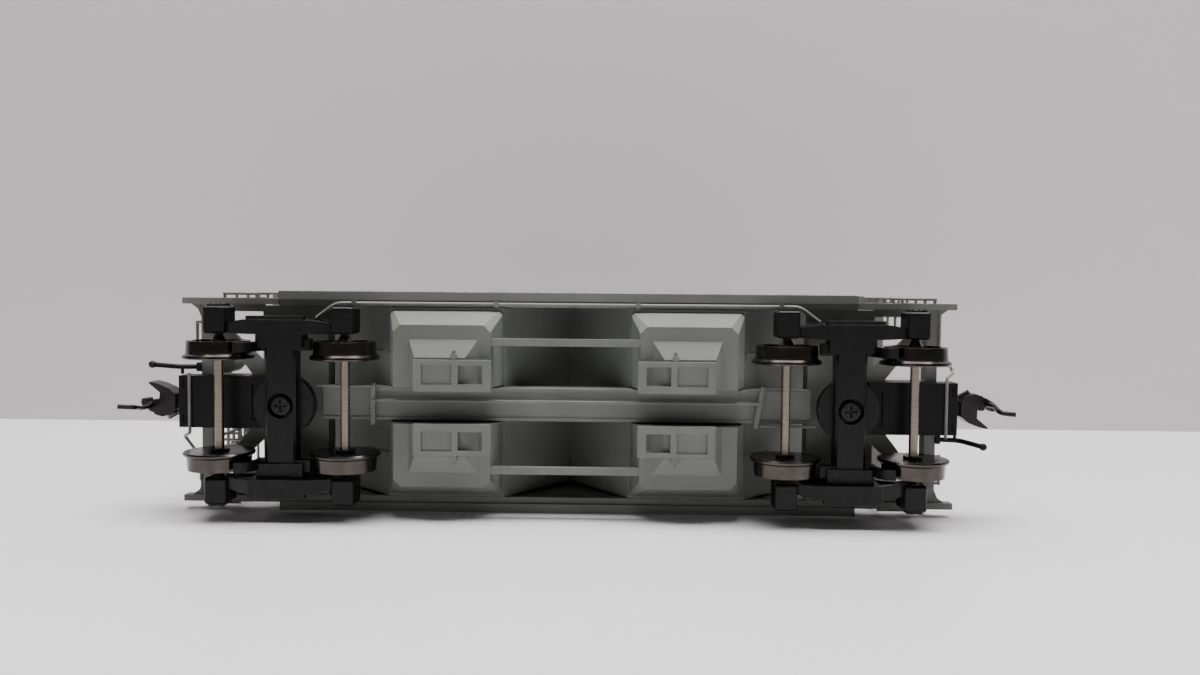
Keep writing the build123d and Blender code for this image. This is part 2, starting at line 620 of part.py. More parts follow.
def control_valve():
    """Air brake valve on a bracket on the B end bolster."""
    x = -BOLSTER_OUTER + 2.6
    valve = block(x - 1.1, x + 1.1, 5.0, 8.6, STUB_TOP, STUB_TOP + 3.4)
    valve += rod((x, 4.2, STUB_TOP + 2.0), (x, 9.4, STUB_TOP + 2.0), 0.9)
    return valve


def brake_rigging():
    """Two flat levers under the centre sill, the long rod between them and a short rod from each."""
    levers = []
    for sign, tilt in ((-1, 0), (1, 10)):
        lever = Box(0.75, 6.6, 0.55)
        lever += Pos(0, 0, 0.4) * Box(0.75, 0.9, 0.35)
        levers.append(Pos(sign * LEVER_X, 0, LEVER_Z + 0.15) * Rot(0, 0, tilt) * lever)
    rod_y = -0.6
    link = rod((-LEVER_X, rod_y, LEVER_Z - 0.37), (LEVER_X, rod_y, LEVER_Z - 0.37), WIRE)
    near = rod((-LEVER_X, -2.9, LEVER_Z - 0.37), (-BOLSTER_INNER - 0.6, -2.9, LEVER_Z - 0.37), WIRE)
    far = rod((LEVER_X, 2.9, LEVER_Z - 0.37), (BOLSTER_INNER + 0.6, 2.9, LEVER_Z - 0.37), WIRE)
    return levers + [link, near, far]


def train_line():
    """Air pipe under one side sill, turned in towards the bolster at both ends."""
    end_x = BOLSTER_INNER + 1.6
    bend_x = BOLSTER_INNER - 1.6
    points = [(-end_x, TRAIN_LINE_Y + 2.4, TRAIN_LINE_Z), (-bend_x, TRAIN_LINE_Y, TRAIN_LINE_Z),
              (bend_x, TRAIN_LINE_Y, TRAIN_LINE_Z), (end_x, TRAIN_LINE_Y + 2.4, TRAIN_LINE_Z)]
    return bent_rod(points, PIPE_RADIUS, 3.0)


def train_line_clips():
    """Four small saddles that hold the pipe to the side sill."""
    clips = []
    low = TRAIN_LINE_Z - PIPE_RADIUS - 0.2
    for x in CLIP_PLACES:
        clip = block(x - 0.35, x + 0.35, -HALF_WIDTH + 1.2, -INSIDE_SILLS, low, FLANGE_BOTTOM)
        clips.append(clip - rod((x - 1, TRAIN_LINE_Y, TRAIN_LINE_Z), (x + 1, TRAIN_LINE_Y, TRAIN_LINE_Z),
                                PIPE_RADIUS))
    return clips


def steel_weight():
    """Ballast plate glued on the ridge inside the body."""
    low = RIDGE_TOP + SHEET * 1.3
    half = INNER_HALF_WIDTH - WEIGHT_INSET
    return block(-WEIGHT_HALF_LENGTH, WEIGHT_HALF_LENGTH, -half, half, low, low + WEIGHT_THICKNESS)


# ---------------------------------------------------------------- draft gear and couplers
def draft_box(end):
    """Coupler box under the stub sill: walls, roof and the post that the coupler turns on."""
    lid_top = BOX_BOTTOM + BOX_WALL
    x0 = BOX_INNER_END
    x1 = BOX_OUTER_END
    box = block(x0, x1, -BOX_HALF_WIDTH, BOX_HALF_WIDTH, lid_top, BOX_TOP)
    cavity_top = BOX_TOP - BOX_WALL
    half = BOX_HALF_WIDTH - 0.9
    box -= block(x0 + 1.0, x1 - 1.4, -half, half, lid_top - 1, cavity_top)
    box -= block(x1 - 2, x1 + 1, -MOUTH_HALF, MOUTH_HALF, lid_top - 1, cavity_top)
    box += post(COUPLER_PIVOT, 0, lid_top, cavity_top, COUPLER_POST_RADIUS)
    return at_end(box, end)


def draft_lids():
    """Flat lids of the coupler boxes, thicker at the mouth and ribbed at the back."""
    x0 = BOX_INNER_END
    x1 = BOX_OUTER_END
    lid = block(x0, x1, -BOX_HALF_WIDTH, BOX_HALF_WIDTH, BOX_BOTTOM, BOX_BOTTOM + BOX_WALL)
    step = 0.18
    lid -= block(x1 - 1.9, x1 + 1, -BOX_HALF_WIDTH - 1, BOX_HALF_WIDTH + 1, BOX_BOTTOM - 1,
                 BOX_BOTTOM + step)
    for y in (-BOX_HALF_WIDTH + 0.6, BOX_HALF_WIDTH - 2.2):
        lid -= block(x1 - 1.3, x1 - 0.6, y, y + 1.6, BOX_BOTTOM - 1, BOX_BOTTOM + 0.4)
    lid -= block(x0 + 1.4, x0 + 2.2, -2.8, 2.8, BOX_BOTTOM - 1, BOX_BOTTOM + 0.3)
    return [lid, turned(lid)]


def from_knuckle_pin(points):
    """Points given by their X from the knuckle's pin, in the car's own X."""
    return [(KNUCKLE_X + x, y) for x, y in points]


def coupler_head(end):
    """Shank with its eye, and the head with guard arm, jaw and the knuckle's pin."""
    z0 = COUPLER_Z - SHANK_HEIGHT / 2
    z1 = COUPLER_Z + SHANK_HEIGHT / 2
    shank = block(COUPLER_PIVOT, KNUCKLE_X - 2.0, -SHANK_WIDTH / 2, SHANK_WIDTH / 2, z0, z1)
    shank += post(COUPLER_PIVOT, 0, z0, z1, COUPLER_POST_RADIUS + 1.0)
    outline = [(-2.7, -1.2), (-1.9, -2.1), (-0.6, -2.5), (0.7, -2.1), (0.8, -0.9), (-0.1, -0.2), (-0.2, 1.4),
               (1.6, 2.9), (1.45, 3.1), (0.1, 2.8), (-1.5, 2.15), (-2.7, 1.2)]
    head = prism_xy(from_knuckle_pin(outline), HEAD_BOTTOM, HEAD_BOTTOM + HEAD_HEIGHT)
    gap = KNUCKLE_HEIGHT / 2 + PLAY
    jaw = post(KNUCKLE_X, KNUCKLE_Y, COUPLER_Z - gap, COUPLER_Z + gap, KNUCKLE_EYE + PLAY)
    jaw += prism_xy([(KNUCKLE_X, KNUCKLE_Y - 3), (KNUCKLE_X + 4, KNUCKLE_Y - 3), (KNUCKLE_X + 4, 0.9),
                     (KNUCKLE_X - 0.35, 0.9), (KNUCKLE_X - 0.35, KNUCKLE_Y + 0.8)],
                    COUPLER_Z - gap, COUPLER_Z + gap)
    head -= jaw
    head += post(KNUCKLE_X, KNUCKLE_Y, HEAD_BOTTOM, HEAD_BOTTOM + HEAD_HEIGHT, KNUCKLE_PIN)
    coupler = shank + head
    coupler -= post(COUPLER_PIVOT, 0, z0 - 1, z1 + 1, COUPLER_POST_RADIUS + PLAY)
    return at_end(coupler, end)


def knuckle(end):
    """Hooked knuckle that opens away from the guard arm."""
    z0 = COUPLER_Z - KNUCKLE_HEIGHT / 2
    z1 = COUPLER_Z + KNUCKLE_HEIGHT / 2
    outline = [(0, -2.15), (1.4, -1.75), (2.7, -0.95), (3.05, -0.35), (2.9, 0.35), (2.15, 0.35),
               (2.05, -0.25), (1.4, -0.45), (1.0, 0.25), (0.4, 0.25), (0.25, -0.6)]
    hook = prism_xy(from_knuckle_pin(outline), z0, z1) + post(KNUCKLE_X, KNUCKLE_Y, z0, z1, KNUCKLE_EYE)
    hook -= post(KNUCKLE_X, KNUCKLE_Y, z0 - 1, z1 + 1, KNUCKLE_PIN + PLAY / 2)
    hook -= trip_pin_solid()
    return at_end(hook, end)


def trip_pin_solid():
    """Bent wire that hangs from the knuckle and curves outward like an air hose."""
    top = (TRIP_PIN_X, TRIP_PIN_Y, COUPLER_Z)
    hang = (TRIP_PIN_X, TRIP_PIN_Y, 6.2)
    bend = (TRIP_PIN_X - 0.5, TRIP_PIN_Y + 0.6, 2.6)
    tip = (TRIP_PIN_X + 1.6, -0.1, TRIP_PIN_TIP + 0.4)
    return bent_rod([top, hang, bend, tip], TRIP_PIN_RADIUS, 1.2)


def trip_pin(end):
    return at_end(trip_pin_solid(), end)


def knuckle_spring(end):
    """Small coil beside the head that closes the knuckle, in its outer form."""
    start = (KNUCKLE_X - 2.7, -1.7, COUPLER_Z)
    stop = (KNUCKLE_X - 0.8, -2.75, COUPLER_Z)
    coil = rod(start, stop, 0.5)
    return at_end(coil - coupler_head("a"), end)


def centring_spring(end):
    """Two flat whiskers, one each side of the shank, that bring the coupler back to the middle."""
    z0 = COUPLER_Z - 0.5
    z1 = COUPLER_Z + 0.5
    wall = BOX_HALF_WIDTH - 0.9 - PLAY
    eye = COUPLER_POST_RADIUS + 1.0
    near = SHANK_WIDTH / 2
    leaves = []
    for side in (1, -1):
        leaf = prism_xy([(COUPLER_PIVOT + eye, side * near), (COUPLER_PIVOT + eye + 0.6, side * near),
                         (BOX_OUTER_END - 1.8, side * wall), (BOX_OUTER_END - 2.3, side * wall)], z0, z1)
        leaves.append(at_end(leaf, end))
    return leaves


def cut_levers():
    """Uncoupling wires: under each coupler box, out past it and along the end sill to one corner."""
    z = BOX_BOTTOM - WIRE
    side = -1
    x = BOX_OUTER_END - 1.9
    points = [(x, -side * (BOX_HALF_WIDTH + 0.5), z), (x, side * (BOX_HALF_WIDTH + 0.8), z),
              (x + 1.6, side * (BOX_HALF_WIDTH + 1.6), z + 1.8),
              (END_SILL_OUTER + WIRE, side * (FRAME_HALF_WIDTH - 7.1), z + 3.8),
              (END_SILL_OUTER + WIRE, side * (FRAME_HALF_WIDTH - 3.3), z + 3.8)]
    lever = bent_rod(points, WIRE, 0.6)
    return [lever, turned(lever)]


def air_hoses():
    """Brake hose with its valve and coupling head on each end sill."""
    root = (END_SILL_OUTER, HOSE_Y, DECK_BOTTOM + 0.2)
    knee = (END_SILL_OUTER + 3.6, HOSE_Y + 0.05, DECK_BOTTOM - 0.6)
    tip = (END_SILL_OUTER + 6.4, HOSE_Y + 0.6, DECK_BOTTOM - 3.6)
    hose = bent_rod([root, knee, tip], HOSE_RADIUS, 2.4)
    hose += Pos(*tip) * Sphere(0.6)
    valve_x = knee[0] - 0.7
    hose += rod((valve_x, HOSE_Y, knee[2]), (valve_x, HOSE_Y - 1.1, knee[2]), 0.25)
    hose += block(END_SILL_OUTER, END_SILL_OUTER + 0.7, HOSE_Y - 0.7, HOSE_Y + 0.7, DECK_BOTTOM - 0.4,
                  DECK_BOTTOM + 0.9)
    return [hose, turned(hose)]


# ---------------------------------------------------------------- trucks
def truck_place(end):
    """Moves a truck piece, modelled about its pivot with its outer end at +X, to its end of the car."""
    return Pos(PIVOT_X, 0, 0) if end == "a" else Pos(-PIVOT_X, 0, 0) * Rot(0, 0, 180)


def brake_shoe(side):
    """Shoe curved round the outer wheel's tread, with the arm that joins it to the bolster."""
    gap = 0.4
    depth = 1.0
    y0 = side * (WHEEL_FRONT - 1.6)
    y1 = side * (WHEEL_FRONT - 0.1)
    centre_x = WHEELBASE / 2
    inner = TREAD_RADIUS + FLANGE_DEPTH + gap
    shoe = rod((centre_x, y0, AXLE_Z), (centre_x, y1, AXLE_Z), inner + depth)
    shoe -= rod((centre_x, y0 - side, AXLE_Z), (centre_x, y1 + side, AXLE_Z), inner)
    window = block(BOLSTER_WIDTH / 2 - 0.6, centre_x - 3.2, min(y0, y1), max(y0, y1), 1.0, AXLE_Z + 1.2)
    arm_end = centre_x - inner - 0.3
    arm = block(BOLSTER_WIDTH / 2 - 0.6, arm_end, min(y0, y1), max(y0, y1), AXLE_Z - 0.6, AXLE_Z + 1.2)
    return (shoe & window) + arm


def truck_bolster(end):
    """Cross member with bearing pad, screw seat, spring seats and the brake shoes of the outer wheels."""
    reach = FRAME_PITCH / 2 - FRAME_WIDTH / 2 - 0.02
    bar = block(-BOLSTER_WIDTH / 2, BOLSTER_WIDTH / 2, -reach, reach, BOLSTER_BOTTOM, BOLSTER_TOP - 0.5)
    bar = chamfer(bar.edges().filter_by(Axis.Y).group_by(Axis.Z)[0], 0.4)
    bar += post(0, 0, BOLSTER_TOP - 1.6, BOLSTER_TOP, PIVOT_RADIUS)
    for side in (1, -1):
        seat = block(-3.6, 3.6, side * (reach - 2.2), side * reach, BOLSTER_BOTTOM - 0.6, BOLSTER_TOP - 0.5)
        bar += seat + brake_shoe(side)
        bar += block(-4.6, -2, side * (reach - 2.6), side * (reach - 0.8), BOLSTER_BOTTOM + 0.2,
                     BOLSTER_TOP - 1.0)
    bar -= post(0, 0, BOLSTER_BOTTOM - 1, BOLSTER_TOP + 1, SCREW_RADIUS + PLAY)
    bar -= post(0, 0, BOLSTER_BOTTOM - 1, SCREW_SEAT, SCREW_HEAD_RADIUS + 0.35)
    return truck_place(end) * bar


def truck_screws():
    """Pan-head screws that hold the trucks, each with a cross recess and its tip in the body bolster."""
    screws = []
    for sign in ENDS.values():
        x = sign * PIVOT_X
        screw = post(x, 0, SCREW_SEAT - PLAY, STUB_TOP - 0.3, SCREW_RADIUS)
        head = post(x, 0, SCREW_SEAT - PLAY - 1.0, SCREW_SEAT - PLAY, SCREW_HEAD_RADIUS)
        screw += fillet(head.edges().group_by(Axis.Z)[0], 0.4)
        foot = SCREW_SEAT - PLAY - 1.0
        for length, width in ((1.9, 0.38), (0.38, 1.9)):
            screw -= block(x - length / 2, x + length / 2, -width / 2, width / 2, foot - 1, foot + 0.55)
        screws.append(screw)
    return screws


def sideframe_plan(side):
    """Seen from below, the frame is thin beside each journal box and swells to its spring pocket."""
    half = WHEELBASE / 2
    journal = half - JOURNAL_WIDTH / 2
    middle = FRAME_PITCH / 2
    inner = middle - FRAME_WIDTH / 2
    outer = middle + FRAME_WIDTH / 2
    inner_edge = [(half + 1.6, inner + 0.1), (journal, inner + 0.1), (5.2, inner)]
    inner_edge += [(-x, y) for x, y in reversed(inner_edge)]
    outer_edge = [(5.2, outer), (journal, middle + 0.6), (half + 1.6, middle + 0.6)]
    outer_edge = [(-x, y) for x, y in reversed(outer_edge)] + outer_edge
    return [(x, side * y) for x, y in inner_edge + outer_edge]


def sideframe(side):
    """Arched frame with two journal boxes, a spring group in the middle and two windows."""
    y0 = side * (FRAME_PITCH - FRAME_WIDTH) / 2
    y1 = side * (FRAME_PITCH + FRAME_WIDTH) / 2
    half = WHEELBASE / 2
    top = 9.8
    profile = [(-half - 1.6, 6.9), (-4.6, top), (4.6, top), (half + 1.6, 6.9), (half + 1.6, 4.6),
               (half - 1.6, 3.9), (4.2, 1.9), (-4.2, 1.9), (-half + 1.6, 3.9), (-half - 1.6, 4.6)]
    frame = prism_xz(profile, y0, y1) & prism_xy(sideframe_plan(side), 0, top + 1)
    for end in (1, -1):
        window = [(end * 4.5, 7.9), (end * 4.5, 4.0), (end * 7.4, 5.4), (end * 7.4, 6.8)]
        frame -= prism_xz(window, y0 - side, y1 + side)
        x = end * half
        lid_y = side * (FRAME_PITCH / 2 + 3.1)
        journal = block(x - JOURNAL_WIDTH / 2, x + JOURNAL_WIDTH / 2, y0, lid_y, AXLE_Z - 2.1, AXLE_Z + 2.3)
        journal = fillet(journal.edges().filter_by(Axis.Z) + journal.edges().group_by(Axis.Z)[0], 0.45)
        frame += journal
        frame += block(x - 1.2, x + 1.2, lid_y, lid_y + side * 0.3, AXLE_Z - 1.6, AXLE_Z + 1.7)
    frame -= prism_xz([(-3.7, 7.4), (3.7, 7.4), (3.7, 3.6), (-3.7, 3.6)], y1 - side * 1.2, y1 + side)
    for x in (-2.4, 0, 2.4):
        frame += post(x, y1 - side * 0.9, 3.5, 7.5, 0.95)
    frame += block(-4.4, 4.4, y1, y1 + side * 0.6, 2.0, 3.2)
    for end in (1, -1):
        mouth = side * (FRAME_PITCH - FRAME_WIDTH) / 2
        frame -= needle(end * half, mouth - side * 0.01, side * (AXLE_TIP_SPAN / 2 + 0.15), CONE_PLAY)
    return frame


def needle_radius(y):
    """Radius of the axle's needle at a distance from the car's centre line."""
    tip_y = AXLE_TIP_SPAN / 2
    foot_y = WHEEL_FRONT + 0.85
    return 0.12 + (AXLE_RADIUS - 0.12) * (tip_y - abs(y)) / (tip_y - foot_y)


def needle(x, y0, y1, extra):
    """A cone that follows the needle's taper, made larger by a clearance."""
    side = 1 if y1 > y0 else -1
    foot_radius = needle_radius(y0) + extra
    tip_radius = max(needle_radius(y1), 0.05) + extra
    plane = Plane(origin=(x, y0, AXLE_Z), z_dir=(0, side, 0))
    return Solid.make_cone(foot_radius, tip_radius, abs(y1 - y0), plane)


def sideframes(end):
    return [truck_place(end) * sideframe(1), truck_place(end) * sideframe(-1)]


# ---------------------------------------------------------------- wheelsets
def about_axle(x, profile):
    """A round piece on an axle, from an outline of (radius, Y) pairs."""
    outline = Wire.make_polygon([Vector(x + radius, y, AXLE_Z) for radius, y in profile], close=True)
    return Solid.revolve(Face(outline), 360, Axis((x, 0, AXLE_Z), (0, 1, 0)))


def axle(x):
    """Plain axle with a stepped cone outside each wheel and needle points."""
    cone_y = WHEEL_FRONT + 0.85
    tip_y = AXLE_TIP_SPAN / 2
    half = [(AXLE_RADIUS, 0), (AXLE_RADIUS, WHEEL_FRONT - 0.5), (1.15, WHEEL_FRONT - 0.5),
            (1.15, WHEEL_FRONT + 0.1), (AXLE_RADIUS, cone_y), (0.12, tip_y)]
    profile = [(0, tip_y)] + half[::-1] + [(r, -y) for r, y in half[1:]] + [(0, -tip_y)]
    return about_axle(x, profile)


def wheel(x, side, bore):
    """Flanged wheel: tapered tread, rim, dished web and hub."""
    back = WHEEL_BACK
    front = WHEEL_FRONT
    rim = TREAD_RADIUS - RIM_DEPTH
    flange = TREAD_RADIUS + FLANGE_DEPTH
    web = back + 0.9
    profile = [(bore, back), (rim, back), (flange - 0.15, back), (flange, back + 0.2),
               (flange - 0.1, back + 0.5), (TREAD_RADIUS + 0.06, back + FLANGE_WIDTH),
               (TREAD_RADIUS - 0.06, front), (rim, front), (rim - 0.25, web + WEB_WIDTH),
               (HUB_RADIUS + 0.35, web + WEB_WIDTH), (HUB_RADIUS, front - 0.5), (bore, front - 0.5)]
    return about_axle(x, [(radius, side * y) for radius, y in profile])


def wheels(x):
    """The plain wheel at -Y and the wheel on a plastic bush at +Y."""
    return [wheel(x, -1, AXLE_RADIUS), wheel(x, 1, BUSH_RADIUS)]


def bush(x):
    """Plastic bush that keeps one wheel insulated from the axle."""
    inner = WHEEL_BACK - 0.35
    outer = WHEEL_FRONT - 0.5
    return about_axle(x, [(AXLE_RADIUS, inner), (BUSH_RADIUS + 0.35, inner), (BUSH_RADIUS + 0.35, WHEEL_BACK),
                          (BUSH_RADIUS, WHEEL_BACK), (BUSH_RADIUS, outer), (AXLE_RADIUS, outer)])


# ---------------------------------------------------------------- all nodes
def build():
    parts = {
        "body_shell": body_shell(), "hatch_covers": hatch_covers(), "side_sills": side_sills(),
        "hopper_bottom": hopper_bottom(), "bay_tie_bars": bay_tie_bars(), "centre_sill": centre_sill(),
        "body_bolsters": body_bolsters(), "running_boards": running_boards(), "crosswalks": crosswalks(),
        "side_ladders": side_ladders(), "end_ladders": end_ladders(), "grab_irons": grab_irons(),
        "brake_wheel": brake_wheel(), "brake_housing": brake_housing(), "brake_platform": brake_platform(),
        "brake_cylinder": brake_cylinder(), "air_reservoir": air_reservoir(),
        "control_valve": control_valve(), "brake_rigging": brake_rigging(), "train_line": train_line(),
        "train_line_clips": train_line_clips(), "steel_weight": steel_weight(), "draft_lids": draft_lids(),
        "cut_levers": cut_levers(), "air_hoses": air_hoses(), "truck_screws": truck_screws(),
    }
    for number, (sign_x, sign_y) in enumerate(((-1, -1), (-1, 1), (1, -1), (1, 1)), start=1):
        parts[f"outlet_gate_{number}"] = outlet_gate(sign_x, sign_y)
    for end, sign in ENDS.items():
        parts[f"end_frame_{end}"] = end_frame(end)
        parts[f"draft_box_{end}"] = draft_box(end)
        parts[f"coupler_head_{end}"] = coupler_head(end)
        parts[f"knuckle_{end}"] = knuckle(end)
        parts[f"trip_pin_{end}"] = trip_pin(end)
        parts[f"knuckle_spring_{end}"] = knuckle_spring(end)
        parts[f"centring_spring_{end}"] = centring_spring(end)
        parts[f"truck_bolster_{end}"] = truck_bolster(end)
        parts[f"sideframes_{end}"] = sideframes(end)
        for place, offset in (("outer", WHEELBASE / 2), ("inner", -WHEELBASE / 2)):
            x = sign * (PIVOT_X + offset)
            parts[f"axle_{end}_{place}"] = axle(x)
            parts[f"wheels_{end}_{place}"] = wheels(x)
            parts[f"bush_{end}_{place}"] = bush(x)
    return parts


os.makedirs("parts", exist_ok=True)
for node, piece in build().items():
    shape = Compound(children=list(piece)) if isinstance(piece, list) else piece
    export_step(shape, f"parts/{node}.step")
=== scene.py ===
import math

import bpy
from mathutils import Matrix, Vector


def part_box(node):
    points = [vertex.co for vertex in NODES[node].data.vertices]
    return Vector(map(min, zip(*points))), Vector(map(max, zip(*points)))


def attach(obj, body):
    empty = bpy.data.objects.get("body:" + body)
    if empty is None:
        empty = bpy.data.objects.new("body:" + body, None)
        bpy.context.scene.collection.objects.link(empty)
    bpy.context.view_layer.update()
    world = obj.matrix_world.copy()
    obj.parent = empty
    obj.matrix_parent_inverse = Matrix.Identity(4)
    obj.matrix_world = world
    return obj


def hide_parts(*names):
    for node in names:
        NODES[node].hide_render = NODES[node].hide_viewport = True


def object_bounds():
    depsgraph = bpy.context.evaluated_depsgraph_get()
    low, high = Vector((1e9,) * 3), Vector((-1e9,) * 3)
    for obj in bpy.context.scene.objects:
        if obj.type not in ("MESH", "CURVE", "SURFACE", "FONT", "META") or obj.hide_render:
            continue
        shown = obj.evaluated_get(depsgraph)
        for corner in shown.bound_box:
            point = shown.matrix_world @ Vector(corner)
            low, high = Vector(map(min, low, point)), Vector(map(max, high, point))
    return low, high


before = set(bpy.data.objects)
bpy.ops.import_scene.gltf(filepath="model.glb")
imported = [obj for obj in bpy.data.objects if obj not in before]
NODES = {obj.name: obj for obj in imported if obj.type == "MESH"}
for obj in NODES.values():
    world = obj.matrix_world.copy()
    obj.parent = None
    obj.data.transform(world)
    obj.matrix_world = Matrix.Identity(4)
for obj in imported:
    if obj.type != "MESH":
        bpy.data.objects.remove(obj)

# %% [markdown]
# # An HO covered hopper on its side
# The car's solid parts arrive as a fixed frame, in metres, from the CAD model. This lesson gives every
# part the finish it has on the real model, adds the small things that repeat, such as rivets, bolts and
# springs, and sets up the camera and the light. Each step says what the real thing is before it says how
# it is made.

MM = 0.001
start_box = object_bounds()
print("parts in the frame:", len(NODES))
print("box in mm:", [round(v / MM, 1) for corner in start_box for v in corner])

# %% [markdown]
# ## Colours and one node helper
# Paint makers and web pages give colours as sRGB hex values, but the renderer works with linear light.
# One function turns one into the other, so every colour below can be read as a hex value. One more
# function adds a node, sets its settings and joins its inputs. It serves materials and Geometry Nodes.

# %% Hex colours and nodes
def from_hex(text):
    """An sRGB hex colour as linear red, green, blue and alpha."""
    channels = [int(text[i:i + 2], 16) / 255 for i in (1, 3, 5)]
    linear = [c / 12.92 if c <= 0.04045 else ((c + 0.055) / 1.055) ** 2.4 for c in channels]
    return (*linear, 1.0)


def add(tree, kind, inputs=None, **settings):
    """A new node. inputs maps a socket's name or number to a value or to another node's output."""
    node = tree.nodes.new(kind)
    for key, value in settings.items():
        setattr(node, key, value)
    for key, value in (inputs or {}).items():
        socket = node.inputs[key] if isinstance(key, int) else next(
            s for s in node.inputs if s.name == key and s.enabled)
        if isinstance(value, bpy.types.NodeSocket):
            tree.links.new(value, socket)
        else:
            socket.default_value = value
    return node


print("mid grey #808080 is", round(from_hex("#808080")[0], 3), "in linear light")

# %% [markdown]
# ## A finish with grain and soft edges
# No moulding has knife edges: paint and tooling round them by about a tenth of a millimetre, and those
# edges catch the light. A Bevel node bends the shading at edges in the same way. Under it, a coarse noise
# shifts the colour a little, as uneven paint does, and a fine noise makes the surface's own grain. All
# patterns use Object coordinates in metres, so a scale of 1 / size gives grains of that size.

# %% Base of every finish
GRAIN_DEPTH = 0.05 * MM


def finish(name, dark, light, roughness, metallic=0.0, patch=6.0, grain=0.25, bump=0.15, edge=0.12,
           stretch=(1, 1, 1), centre=(0, 0, 0), spread=0.08, shine=0.5):
    """A principled material between two hex colours. Patch, grain and edge are sizes in millimetres."""
    material = bpy.data.materials.new(name)
    material.use_nodes = True
    tree = material.node_tree
    tree.nodes.clear()
    place = add(tree, "ShaderNodeTexCoord").outputs["Object"]
    place = add(tree, "ShaderNodeMapping", {"Vector": place, "Location": [-c for c in centre],
                                            "Scale": stretch}).outputs[0]
    patches = add(tree, "ShaderNodeTexNoise", {
        "Vector": place, "Scale": 1 / (patch * MM), "Detail": 4.0}).outputs["Fac"]
    blend = add(tree, "ShaderNodeMapRange", {"Value": patches, "From Min": 0.35, "From Max": 0.65})
    colour = add(tree, "ShaderNodeMix", {"Factor": blend.outputs[0], "A": from_hex(dark),
                                         "B": from_hex(light)}, data_type="RGBA")
    grains = add(tree, "ShaderNodeTexNoise", {
        "Vector": place, "Scale": 1 / (grain * MM), "Detail": 2.0}).outputs["Fac"]
    rough = add(tree, "ShaderNodeMapRange", {"Value": grains, "From Min": 0.3, "From Max": 0.7,
                                             "To Min": roughness - spread, "To Max": roughness + spread})
    soft = add(tree, "ShaderNodeBevel", {"Radius": edge * MM}, samples=4)
    relief = add(tree, "ShaderNodeBump", {"Strength": bump, "Distance": GRAIN_DEPTH, "Height": grains,
                                          "Normal": soft.outputs[0]})
    shader = add(tree, "ShaderNodeBsdfPrincipled", {
        "Base Color": colour.outputs["Result"], "Metallic": metallic, "Roughness": rough.outputs[0],
        "Specular IOR Level": shine, "Normal": relief.outputs[0]})
    add(tree, "ShaderNodeOutputMaterial", {"Surface": shader.outputs[0]})
    return material


print("finish() ready")

# %% [markdown]
# ## Satin grey paint on polystyrene
# The body is injection-moulded polystyrene with a thin coat of satin grey paint. The paint hides the
# plastic's gloss, so the highlights are wide and weak. Its grain is about a quarter of a millimetre. The
# etched brass walkways and the wires have the same paint over metal, a touch smoother and lighter. The
# hoppers get a darker, rougher copy of the same grey, and that darkening is painted shade for their recesses.

# %% Greys
GREY_PAINT = finish("satin_grey_paint_on_polystyrene", "#6b6f69", "#737671", 0.5, shine=0.4)
# The hoppers' grey is the body paint made darker: painted shade for the recessed bays, not a different paint.
SHADED_HOPPER_GREY = finish("grey_paint_with_painted_hopper_shade", "#686c66", "#6f736d", 0.54, patch=9.0, shine=0.4)
ETCHED_GREY = finish("grey_paint_on_etched_brass", "#6f716a", "#787a73", 0.45, grain=0.15, bump=0.08,
                     edge=0.04)
WIRE_GREY = finish("grey_paint_on_drawn_wire", "#6e7069", "#777971", 0.42, patch=2.0, grain=0.1, bump=0.05,
                   edge=0.03)
print("greys:", GREY_PAINT.name, SHADED_HOPPER_GREY.name, ETCHED_GREY.name, WIRE_GREY.name)

# %% [markdown]
# ## Black acetal, cast metal and rubbery hose
# Trucks and coupler boxes are black acetal, a slippery engineering plastic with a satin, slightly waxy
# face. The couplers are die-cast zinc, chemically blackened, so they stay a little metallic. The hoses are
# a soft vinyl that reflects less sharply.

# %% Blacks
BLACK_ACETAL = finish("moulded_black_acetal", "#060607", "#0a0a0c", 0.34, patch=3.0, grain=0.3, bump=0.12,
                      shine=0.24)
BOX_ACETAL = finish("moulded_black_acetal_boxes", "#050506", "#09090a", 0.36, patch=3.0, grain=0.3, bump=0.12,
                    shine=0.18)
BLACK_ZINC = finish("blackened_die_cast_zinc", "#121112", "#1c1a19", 0.36, metallic=0.4, patch=0.8,
                    grain=0.18, bump=0.3, edge=0.08)
BLACK_STEEL = finish("blackened_steel_screw", "#0e0d0f", "#181617", 0.28, metallic=0.5, patch=0.6, grain=0.12,
                     edge=0.06)
HOSE_VINYL = finish("soft_black_vinyl", "#070708", "#0c0c0d", 0.46, patch=1.5, grain=0.2, edge=0.08,
                    shine=0.25)
BUSH_ACETAL = finish("black_acetal_bush", "#060607", "#0a0a0b", 0.33, patch=1.0, grain=0.2, edge=0.05,
                     shine=0.3)
print("blacks:", len([m for m in bpy.data.materials if "black" in m.name]))

# %% [markdown]
# ## Turned metals
# A lathe leaves fine rings round whatever it cuts. On an axle the rings follow one another along Y, so a
# noise squeezed along Y gives them. On a wheel the rings are circles about the axle, so the distance from
# the axle drives a wave. Real rings are too fine to show, so these are drawn 0.16 mm apart. Each wheelset
# has its own centre, so each gets its own copy of the finish.

# %% Axles, springs and steel
AXLE_METAL = finish("drawn_nickel_silver", "#7e766c", "#8a8176", 0.34, metallic=1.0, patch=2.5, grain=2.0,
                    bump=0.03, edge=0.04, stretch=(0.2, 10, 0.2), spread=0.04)
SPRING_WIRE = finish("blackened_spring_wire", "#1a1816", "#2a2624", 0.3, metallic=0.7, patch=0.7, grain=0.1,
                     edge=0.02)
SPRING_BRONZE = finish("drawn_phosphor_bronze", "#8f6a41", "#a87f52", 0.3, metallic=1.0, patch=0.7, grain=0.1,
                       edge=0.02)
RAW_STEEL = finish("sheared_steel_plate", "#7c7c7e", "#929294", 0.4, metallic=1.0, patch=5.0, grain=0.3)


RING_WIDTH = 0.16 * MM
RING_DEPTH = 0.02 * MM


